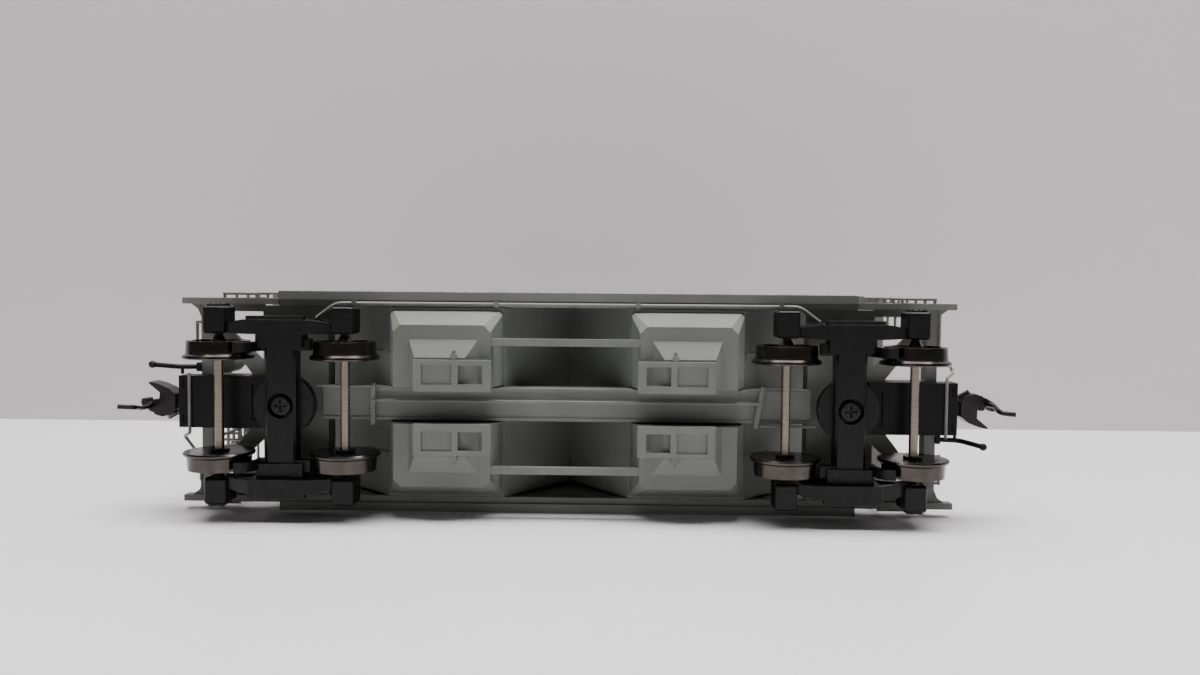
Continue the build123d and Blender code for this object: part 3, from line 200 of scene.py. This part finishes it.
def wheel_finish(name, x, z):
    """Nickel plate, darkened and polished, with lathe rings about an axle at x and z."""
    material = finish(name, "#413e3b", "#4e4a46", 0.2, metallic=1.0, patch=2.2, grain=0.3, bump=0.02,
                      edge=0.05, centre=(x, 0, z), spread=0.03)
    tree = material.node_tree
    place = next(n for n in tree.nodes if n.bl_idname == "ShaderNodeMapping").outputs[0]
    flat = add(tree, "ShaderNodeVectorMath", {0: place, 1: (1, 0, 1)}, operation="MULTIPLY").outputs[0]
    reach = add(tree, "ShaderNodeVectorMath", {0: flat}, operation="LENGTH").outputs["Value"]
    turns = add(tree, "ShaderNodeMath", {0: reach, 1: math.tau / RING_WIDTH}, operation="MULTIPLY")
    wave = add(tree, "ShaderNodeMath", {0: turns.outputs[0]}, operation="SINE")
    bump = next(n for n in tree.nodes if n.bl_idname == "ShaderNodeBump")
    rings = add(tree, "ShaderNodeBump", {"Strength": 0.12, "Distance": RING_DEPTH, "Height": wave.outputs[0],
                                         "Normal": bump.outputs[0]})
    shader = next(n for n in tree.nodes if n.bl_idname == "ShaderNodeBsdfPrincipled")
    tree.links.new(rings.outputs[0], shader.inputs["Normal"])
    return material


print("metals:", AXLE_METAL.name, SPRING_BRONZE.name, RAW_STEEL.name)

# %% [markdown]
# ## Every part gets its finish
# A part keeps its shape from the CAD model and only its material slots change. The table below pairs the
# start of a part's name with a finish. The four wheelsets get their ringed plate here too.

# %% Finishes onto the parts
FINISHES = {
    "truck_bolster": BLACK_ACETAL, "sideframes": BLACK_ACETAL, "draft_": BOX_ACETAL,
    "coupler_head": BLACK_ZINC, "knuckle_spring": SPRING_WIRE, "knuckle_": BLACK_ZINC,
    "trip_pin": BLACK_STEEL, "centring_spring": SPRING_BRONZE, "truck_screws": BLACK_STEEL,
    "air_hoses": HOSE_VINYL, "steel_weight": RAW_STEEL, "cut_levers": WIRE_GREY, "train_line": WIRE_GREY,
    "running_boards": ETCHED_GREY, "crosswalks": ETCHED_GREY, "brake_platform": ETCHED_GREY,
    "axle_": AXLE_METAL, "bush_": BUSH_ACETAL, "side_ladders": WIRE_GREY, "end_ladders": WIRE_GREY,
    # hopper_bottom takes the darker grey, whose darkening is painted shade.
    "grab_irons": WIRE_GREY, "hopper_bottom": SHADED_HOPPER_GREY,
}


def set_material(obj, material):
    obj.data.materials.clear()
    obj.data.materials.append(material)


def centre_of(node):
    low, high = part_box(node)
    return (Vector(low) + Vector(high)) / 2


for node, obj in NODES.items():
    if node.startswith("wheels_"):
        middle = centre_of(node)
        set_material(obj, wheel_finish(node.replace("wheels", "darkened_nickel"), middle.x, middle.z))
    else:
        starts = [start for start in FINISHES if node.startswith(start)]
        set_material(obj, FINISHES[max(starts, key=len)] if starts else GREY_PAINT)
print("finishes used:", len({o.data.materials[0].name for o in NODES.values()}))

# %% [markdown]
# ## The camera
# The car lies on its side with its wheels to the camera, and the camera looks along +Z, slightly down
# towards the table. The car itself stays upright in its own frame, so the camera's up is -Y.

# %% Camera
CAMERA_PLACE = Vector((7.84, -18.296, -149.234)) * MM
LOOK_TILT = Vector((0.047, 0.016, 0.009))
LENS = 30.0
SENSOR = 36.0

turn = Matrix.Rotation(-LOOK_TILT.length, 3, LOOK_TILT.normalized())
right, up, back = turn @ Vector((1, 0, 0)), turn @ Vector((0, -1, 0)), turn @ Vector((0, 0, -1))
camera = bpy.data.objects.new("camera", bpy.data.cameras.new("camera"))
bpy.context.scene.collection.objects.link(camera)
camera.data.lens = LENS
camera.data.sensor_width = SENSOR
camera.data.clip_start = 0.005
camera.matrix_world = Matrix.Translation(CAMERA_PLACE) @ Matrix((right, up, back)).transposed().to_4x4()
bpy.context.scene.camera = camera
print("camera looks along", [round(v, 3) for v in -back])

# %% [markdown]
# ## Table, wall and light
# A pale table lies against the car's +Y side, and a pale wall stands behind the roof. Both are clear from
# their backs, so a camera placed behind them still sees the car. One wide soft lamp hangs over the car, on
# its -Y side, a weaker one stands beside the camera, and a third lights the car through the table's opening.

# %% Table and wall
TABLE_DROP = 0.12 * MM
WALL_Z = 118 * MM
STAGE_REACH = 700 * MM
FLECK = 30 * MM


def stage_finish(name, tint):
    """A matt surface seen from its front only."""
    material = bpy.data.materials.new(name)
    material.use_nodes = True
    tree = material.node_tree
    tree.nodes.clear()
    place = add(tree, "ShaderNodeTexCoord").outputs["Object"]
    fleck = add(tree, "ShaderNodeTexNoise", {"Vector": place, "Scale": 1 / FLECK, "Detail": 3.0})
    rough = add(tree, "ShaderNodeMapRange", {
        "Value": fleck.outputs["Fac"], "To Min": 0.42, "To Max": 0.55}).outputs[0]
    matt = add(tree, "ShaderNodeBsdfPrincipled", {"Base Color": from_hex(tint), "Roughness": rough})
    clear = add(tree, "ShaderNodeBsdfTransparent")
    behind = add(tree, "ShaderNodeNewGeometry").outputs["Backfacing"]
    either = add(tree, "ShaderNodeMixShader", {0: behind, 1: matt.outputs[0], 2: clear.outputs[0]})
    add(tree, "ShaderNodeOutputMaterial", {"Surface": either.outputs[0]})
    return material


def mesh_object(name, points, faces=(), edges=()):
    mesh = bpy.data.meshes.new(name)
    mesh.from_pydata([tuple(p) for p in points], list(edges), list(faces))
    obj = bpy.data.objects.new(name, mesh)
    bpy.context.scene.collection.objects.link(obj)
    return obj


table_y = start_box[1][1] + TABLE_DROP
side_low, side_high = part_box("body_shell")
print("the car's side spans X", round(side_low[0] / MM), "to", round(side_high[0] / MM), "mm")

# %% [markdown]
# The side that the car lies on would be black from behind, since the table shuts out all its light. The
# table has an opening there, just inside the outline of the car's side, so the car hides it from the
# front. The side is narrow beside the trucks and widens along its end slopes, so the opening is laid in
# thin bands, each as wide as the side that a ray finds behind it.

# %% Table with an opening under the car
BAND = 1.0 * MM
MARGIN = 0.4 * MM
SIDE_DEPTH = 1.5 * MM


def half_width_at(z):
    """How far along X the car's side reaches at a height, as seen from the table."""
    reach = 0.0
    x = 0.0
    while x < side_high[0]:
        hits = [NODES[node].ray_cast(Vector((x, table_y, z)), Vector((0, -1, 0)), distance=SIDE_DEPTH)[0]
                for node in ("body_shell", "side_sills")]
        if any(hits):
            reach = x
        x += BAND / 2
    return max(0.0, reach - MARGIN)


sill_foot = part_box("side_sills")[0][2] + MARGIN
steps = int((side_high[2] - sill_foot) / BAND)
levels = [sill_foot + BAND * step for step in range(steps + 1)]
bands = [(-STAGE_REACH, sill_foot, 0.0)]
bands += [(low, high, min(half_width_at(low), half_width_at(high))) for low, high in zip(levels, levels[1:])]
bands.append((levels[-1], WALL_Z, 0.0))
corners, quads = [], []
for low, high, half in bands:
    for start, stop in ((-STAGE_REACH, -half), (half, STAGE_REACH)):
        quads.append(tuple(range(len(corners), len(corners) + 4)))
        corners += [(start, table_y, low), (stop, table_y, low),
                    (stop, table_y, high), (start, table_y, high)]
print("opening half widths in mm:", [round(half / MM, 1) for _, _, half in bands])
table = mesh_object("table", corners, quads)
wall = mesh_object("wall", [(-STAGE_REACH, table_y, WALL_Z), (STAGE_REACH, table_y, WALL_Z),
                            (STAGE_REACH, -STAGE_REACH, WALL_Z), (-STAGE_REACH, -STAGE_REACH, WALL_Z)],
                   [(0, 1, 2, 3)])
set_material(table, stage_finish("pale_laminate_table", "#d3d2d4"))
set_material(wall, stage_finish("pale_painted_wall", "#cfcbce"))
print("table faces", table.data.polygons[0].normal[:], "wall faces", wall.data.polygons[0].normal[:])

# %% Lamps and surroundings
def lamp(name, place, target, size, power, tint):
    data = bpy.data.lights.new(name, "AREA")
    data.shape = "RECTANGLE"
    data.size, data.size_y = size
    data.energy = power
    data.color = from_hex(tint)[:3]
    obj = bpy.data.objects.new(name, data)
    obj.location = place
    obj.rotation_mode = "QUATERNION"
    obj.rotation_quaternion = (Vector(target) - Vector(place)).to_track_quat("-Z", "Y")
    bpy.context.scene.collection.objects.link(obj)


lamp("ceiling_lamp", (0.06, -0.75, 0.02), (0.06, 0, 0.01), (0.9, 0.35), 21.5, "#fffcfb")
lamp("room_lamp", (-0.5, -0.6, -0.7), (0, 0, 0.02), (0.5, 0.4), 0.35, "#f4f6ff")
lamp("back_lamp", (0, 0.8, 0.05), (0, 0, 0.03), (0.9, 0.5), 9.0, "#fffaf7")
world = bpy.data.worlds.new("pale_room")
world.use_nodes = True
sky = world.node_tree.nodes["Background"]
sky.inputs["Color"].default_value = from_hex("#c9c7c8")
sky.inputs["Strength"].default_value = 0.11
bpy.context.scene.world = world

# %% [markdown]
# ## Rivets, bolts and springs
# Details that repeat come from Geometry Nodes. A tree gets a bare mesh of edges that says where the rows
# run, spaces its copies along them, turns each one to face outwards and makes them real. Each point of
# the bare mesh carries a "facing" direction. The result becomes a plain mesh, one for each moving body,
# which then rides on that body.

# %% Growing a piece with Geometry Nodes
def new_tree(name, sizes):
    """A Geometry Nodes tree with a geometry input and one named number input for each size."""
    tree = bpy.data.node_groups.new(name, "GeometryNodeTree")
    tree.interface.new_socket("Geometry", in_out="INPUT", socket_type="NodeSocketGeometry")
    for label, value in sizes.items():
        kind = "NodeSocketInt" if isinstance(value, int) else "NodeSocketFloat"
        tree.interface.new_socket(label, in_out="INPUT", socket_type=kind).default_value = value
    tree.interface.new_socket("Material", in_out="INPUT", socket_type="NodeSocketMaterial")
    tree.interface.new_socket("Geometry", in_out="OUTPUT", socket_type="NodeSocketGeometry")
    return tree, add(tree, "NodeGroupInput").outputs


def close_tree(tree, inputs, shape):
    """Makes every copy real, gives it the material and ends the tree."""
    real = add(tree, "GeometryNodeRealizeInstances", {"Geometry": shape}).outputs[0]
    done = add(tree, "GeometryNodeSetMaterial", {"Geometry": real, "Material": inputs["Material"]}).outputs[0]
    add(tree, "NodeGroupOutput", {0: done})
    return tree


def grow(name, tree, points, edges, facings, material, body, slot, **sizes):
    """A plain mesh piece that a tree makes over a bare mesh. It rides on a body."""
    seed = mesh_object(name + "_rows", points, edges=edges)
    facing = seed.data.attributes.new("facing", "FLOAT_VECTOR", "POINT")
    for item, direction in zip(facing.data, facings):
        item.vector = direction
    modifier = seed.modifiers.new("grow", "NODES")
    modifier.node_group = tree
    sockets = {item.name: item.identifier for item in tree.interface.items_tree if item.in_out == "INPUT"}
    modifier[sockets["Material"]] = material
    for label, value in sizes.items():
        modifier[sockets[label.replace("_", " ").capitalize()]] = value
    bpy.context.view_layer.update()
    mesh = bpy.data.meshes.new_from_object(seed.evaluated_get(bpy.context.evaluated_depsgraph_get()))
    seed.modifiers.remove(modifier)
    bpy.data.objects.remove(seed)
    piece = bpy.data.objects.new(name, mesh)
    bpy.context.scene.collection.objects.link(piece)
    mesh.name = name
    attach(piece, body)
    print(name, "has", len(mesh.polygons), "faces on", body)
    return piece


print("grow() ready")

# %% [markdown]
# ## The rivet tree
# A rivet or bolt head is a low turned button. A profile curve would do, but a cylinder with few sides,
# narrowed at its top, is enough at this size and stays light when hundreds are made.

# %% Heads in rows
HEAD_TAPER = 0.62      # the radius of a head's top over that of its foot


def rows_of_heads(name, sides):
    """Heads along every edge of the bare mesh, standing on their facing directions."""
    tree, inputs = new_tree(name, {"Pitch": 2.0 * MM, "Radius": 0.18 * MM, "Height": 0.1 * MM})
    curve = add(tree, "GeometryNodeMeshToCurve", {"Mesh": inputs["Geometry"]}).outputs[0]
    points = add(tree, "GeometryNodeResampleCurve", {"Curve": curve, "Length": inputs["Pitch"]},
                 mode="LENGTH")
    top = add(tree, "ShaderNodeMath", {0: inputs["Radius"], 1: HEAD_TAPER}, operation="MULTIPLY")
    head = add(tree, "GeometryNodeMeshCone", {
        "Vertices": sides, "Radius Top": top.outputs[0], "Radius Bottom": inputs["Radius"],
        "Depth": inputs["Height"]})
    direction = add(tree, "GeometryNodeInputNamedAttribute", {"Name": "facing"}, data_type="FLOAT_VECTOR")
    turned = add(tree, "FunctionNodeAlignRotationToVector", {"Vector": direction.outputs[0]}, axis="Z")
    copies = add(tree, "GeometryNodeInstanceOnPoints", {
        "Points": points.outputs[0], "Instance": head.outputs["Mesh"], "Rotation": turned.outputs[0]})
    return close_tree(tree, inputs, copies.outputs[0])


RIVETS = rows_of_heads("rivet rows", 10)
BOLTS = rows_of_heads("hexagon bolts", 6)
print("trees:", [tree.name for tree in bpy.data.node_groups])

# %% [markdown]
# ## Where rows lie
# Rows that follow a curved roof can't be typed in as plain numbers. A ray shot at the part finds each
# point of the row on its surface, and the direction that the surface faces there.

# %% Rows on a surface
def joined(rows):
    """Points, edges and facings of several rows. A row is a list of (point, facing) pairs."""
    points, edges, facings = [], [], []
    for row in rows:
        first = len(points)
        points += [point for point, _ in row]
        facings += [facing for _, facing in row]
        edges += [(first + i, first + i + 1) for i in range(len(row) - 1)]
    return points, edges, facings


def straight(start, end, facing, sink=0.02):
    """A straight row in millimetres, sunk a little so that the heads' feet don't show."""
    facing = Vector(facing)
    return [(Vector(place) * MM - facing * sink * MM, facing) for place in (start, end)]


def draped(node, start, end, direction, steps):
    """A row on a part's surface, found by rays along a direction. Sizes in millimetres."""
    start, end, direction = Vector(start) * MM, Vector(end) * MM, Vector(direction)
    row = []
    for step in range(steps + 1):
        place = start.lerp(end, step / steps)
        hit, where, facing, _ = NODES[node].ray_cast(place, direction)
        if hit:
            row.append((where, facing))
    return row


sill_low, sill_high = (Vector(corner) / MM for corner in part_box("side_sills"))
print("body half width", round(side_high[1] / MM, 2), "mm, sill face at", round(sill_high.y, 2), "mm")

# %% [markdown]
# ## Seams and rivets of the body
# The full-size car is made of steel sheets. Their joints show as upright beads on the sides and as bands
# over the roof, and a row of rivets runs along each side sill. Round beads are swept along the rows, half
# sunk in the surface, so they need no particular turn.

# %% Bead tree
def swept_beads(name):
    """A round bead along every edge of the bare mesh."""
    tree, inputs = new_tree(name, {"Radius": 0.2 * MM})
    curve = add(tree, "GeometryNodeMeshToCurve", {"Mesh": inputs["Geometry"]}).outputs[0]
    ring = add(tree, "GeometryNodeCurvePrimitiveCircle", {"Resolution": 8, "Radius": inputs["Radius"]})
    bead = add(tree, "GeometryNodeCurveToMesh", {"Curve": curve, "Profile Curve": ring.outputs["Curve"],
                                                 "Fill Caps": True})
    return close_tree(tree, inputs, bead.outputs[0])


BEADS = swept_beads("swept beads")
print("bead tree has", len(BEADS.nodes), "nodes")

# %% Side seams, roof bands and sill rivets
SEAM_PITCH = 13.2
SEAMS = [SEAM_PITCH * step for step in range(-3, 4)]
SEAM_TOP = 45.6
BESIDE = 40                             # |Y| and height that the rays start from
ABOVE = 80
BAND_OUTER, BAND_INNER = 17.3, 9.0      # |Y| of the roof bands' ends
seam_foot = sill_high.z + 0.1
side_rows = []
for x in SEAMS:
    for side in (-1, 1):
        side_rows.append(draped("body_shell", (x, side * BESIDE, seam_foot), (x, side * BESIDE, SEAM_TOP),
                                (0, -side, 0), 2))
        side_rows.append(draped("body_shell", (x, side * BAND_OUTER, ABOVE), (x, side * BAND_INNER, ABOVE),
                                (0, 0, -1), 12))
grow("side_seams", BEADS, *joined(side_rows), GREY_PAINT, "car_body", "body_grey", radius=0.22 * MM)

RIVET_SHIFT = 0.9
RIVET_INSET = 0.6
sill_rows = []
for side in (-1, 1):
    face = side * sill_high.y
    middle = (sill_low.z + sill_high.z) / 2
    sill_rows.append(straight((sill_low.x + 1, face, middle), (sill_high.x - 1, face, middle), (0, side, 0)))
for x in SEAMS:
    for side in (-1, 1):
        for shift in (-RIVET_SHIFT, RIVET_SHIFT):
            sill_rows.append(draped("body_shell", (x + shift, side * BESIDE, seam_foot + RIVET_INSET),
                                    (x + shift, side * BESIDE, SEAM_TOP - RIVET_INSET), (0, -side, 0), 2))
grow("body_rivets", RIVETS, *joined(sill_rows), GREY_PAINT, "car_body", "body_grey", pitch=1.9 * MM,
     radius=0.19 * MM, height=0.1 * MM)

# %% [markdown]
# ## Hatch rims
# Each round hatch lid has a rolled rim. It is a bead on a closed circle, and each circle is one more row,
# whose last point meets its first.

# %% Hatch rims
HATCH_PITCH = 20.0
HATCH_Y = 5.0
RIM_RADIUS = 2.75
RIM_SIDES = 36
rim_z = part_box("hatch_covers")[0][2] / MM + 0.8
rims = []
for number in range(-2, 3):
    for side in (-1, 1):
        angles = [math.tau * i / RIM_SIDES for i in range(RIM_SIDES + 1)]
        rims.append([(Vector((number * HATCH_PITCH + RIM_RADIUS * math.cos(a),
                              side * HATCH_Y + RIM_RADIUS * math.sin(a), rim_z)) * MM, Vector((0, 0, 1)))
                     for a in angles])
grow("hatch_rims", BEADS, *joined(rims), GREY_PAINT, "car_body", "body_grey", radius=0.16 * MM)

# %% [markdown]
# ## Coil springs
# A truck's springs are coils of thick round wire, three in each sideframe, moulded in one with it. The
# smallest spring on the car is the fine coil beside each coupler head that closes the knuckle. One tree
# makes both: a spiral is swept with a circle, and a copy stands at each point.

# %% Spring tree
def coil_springs(name):
    """A coil at every point of the bare mesh, standing on its facing direction."""
    tree, inputs = new_tree(name, {"Radius": 0.9 * MM, "Height": 4.0 * MM, "Turns": 5.0, "Wire": 0.2 * MM})
    spiral = add(tree, "GeometryNodeCurveSpiral", {
        "Resolution": 14, "Rotations": inputs["Turns"], "Start Radius": inputs["Radius"],
        "End Radius": inputs["Radius"], "Height": inputs["Height"]}).outputs[0]
    ring = add(tree, "GeometryNodeCurvePrimitiveCircle", {"Resolution": 6, "Radius": inputs["Wire"]})
    coil = add(tree, "GeometryNodeCurveToMesh", {"Curve": spiral, "Profile Curve": ring.outputs["Curve"],
                                                 "Fill Caps": True}).outputs[0]
    direction = add(tree, "GeometryNodeInputNamedAttribute", {"Name": "facing"}, data_type="FLOAT_VECTOR")
    turned = add(tree, "FunctionNodeAlignRotationToVector", {"Vector": direction.outputs[0]}, axis="Z")
    copies = add(tree, "GeometryNodeInstanceOnPoints", {
        "Points": inputs["Geometry"], "Instance": coil, "Rotation": turned.outputs[0]})
    return close_tree(tree, inputs, copies.outputs[0])


SPRINGS = coil_springs("coil springs")
print("spring tree has", len(SPRINGS.nodes), "nodes")

# %% Springs of the trucks and knuckles
END_SIGN = {"a": 1, "b": -1}
SPRING_SPACING = 2.4
SPRING_INSET = 3.2        # from the sideframes' outer faces
SPRING_FOOT = 3.55
KNUCKLE_SPRING_START = Vector((62.55, -1.68, 10.5))
KNUCKLE_SPRING_STOP = Vector((64.3, -2.66, 10.5))
for end, sign in END_SIGN.items():
    frame_low, frame_high = (Vector(corner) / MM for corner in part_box(f"sideframes_{end}"))
    truck_x = (frame_low.x + frame_high.x) / 2
    feet = [Vector((truck_x + step * SPRING_SPACING, side * (frame_high.y - SPRING_INSET), SPRING_FOOT)) * MM
            for step in (-1, 0, 1) for side in (-1, 1)]
    grow(f"truck_springs_{end}", SPRINGS, feet, [], [Vector((0, 0, 1))] * len(feet), BLACK_ACETAL,
         f"truck_{end}", "black_plastic", radius=0.95 * MM, height=3.9 * MM, turns=4.5, wire=0.24 * MM)
    along = KNUCKLE_SPRING_STOP - KNUCKLE_SPRING_START
    half_turn = Matrix.Diagonal((sign, sign, 1))
    coil = grow(f"knuckle_coil_{end}", SPRINGS, [half_turn @ KNUCKLE_SPRING_START * MM], [],
                [half_turn @ along.normalized()], SPRING_WIRE, f"coupler_{end}", "black_wire",
                radius=0.42 * MM, height=along.length * MM, turns=7.0, wire=0.1 * MM)
    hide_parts(f"knuckle_spring_{end}")

# %% [markdown]
# ## Bolts
# Each journal box has a lid held by four bolts, the hand brake wheel has a nut on its shaft, and a row of
# rivets runs along each end sill. Six sides make a bolt head and ten make a rivet.

# %% Journal bolts, brake nut and end sill rivets
BOLT_SPACING = 1.64
BOLTS_BELOW, BOLTS_ABOVE = 1.15, 1.25   # from the axle's height
for end in END_SIGN:
    rows = []
    for place in ("outer", "inner"):
        axle = centre_of(f"axle_{end}_{place}") / MM
        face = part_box(f"sideframes_{end}")[1][1] / MM
        for side in (-1, 1):
            for z in (axle.z - BOLTS_BELOW, axle.z + BOLTS_ABOVE):
                rows.append(straight((axle.x - BOLT_SPACING / 2, side * face, z),
                                     (axle.x + BOLT_SPACING / 2, side * face, z), (0, side, 0)))
    grow(f"journal_bolts_{end}", BOLTS, *joined(rows), BLACK_ACETAL, f"truck_{end}", "black_plastic",
         pitch=BOLT_SPACING * MM, radius=0.19 * MM, height=0.14 * MM)

hub = centre_of("brake_wheel") / MM
nut_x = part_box("brake_wheel")[0][0] / MM
nut_row = [(Vector((nut_x + 0.1, hub.y, hub.z)) * MM, Vector((-1, 0, 0)))]
nut_row.append((nut_row[0][0] + Vector((0, 0, 0.01 * MM)), Vector((-1, 0, 0))))
grow("brake_wheel_nut", BOLTS, *joined([nut_row]), GREY_PAINT, "brake_wheel", "body_grey", pitch=1.0 * MM,
     radius=0.5 * MM, height=0.4 * MM)

BEYOND = 70                             # |X| that the rays start from
RIVETS_NEAR, RIVETS_FAR = 7.4, 14.8     # |Y| of the rows' ends
RIVETS_ABOVE_BOX = 2.0
end_rows = []
for end, sign in END_SIGN.items():
    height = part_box(f"draft_box_{end}")[1][2] / MM + RIVETS_ABOVE_BOX
    for side in (-1, 1):
        end_rows.append(draped(f"end_frame_{end}", (sign * BEYOND, side * RIVETS_NEAR, height),
                               (sign * BEYOND, side * RIVETS_FAR, height), (-sign, 0, 0), 1))
grow("end_sill_rivets", RIVETS, *joined(end_rows), GREY_PAINT, "car_body", "body_grey", pitch=1.6 * MM,
     radius=0.17 * MM, height=0.09 * MM)
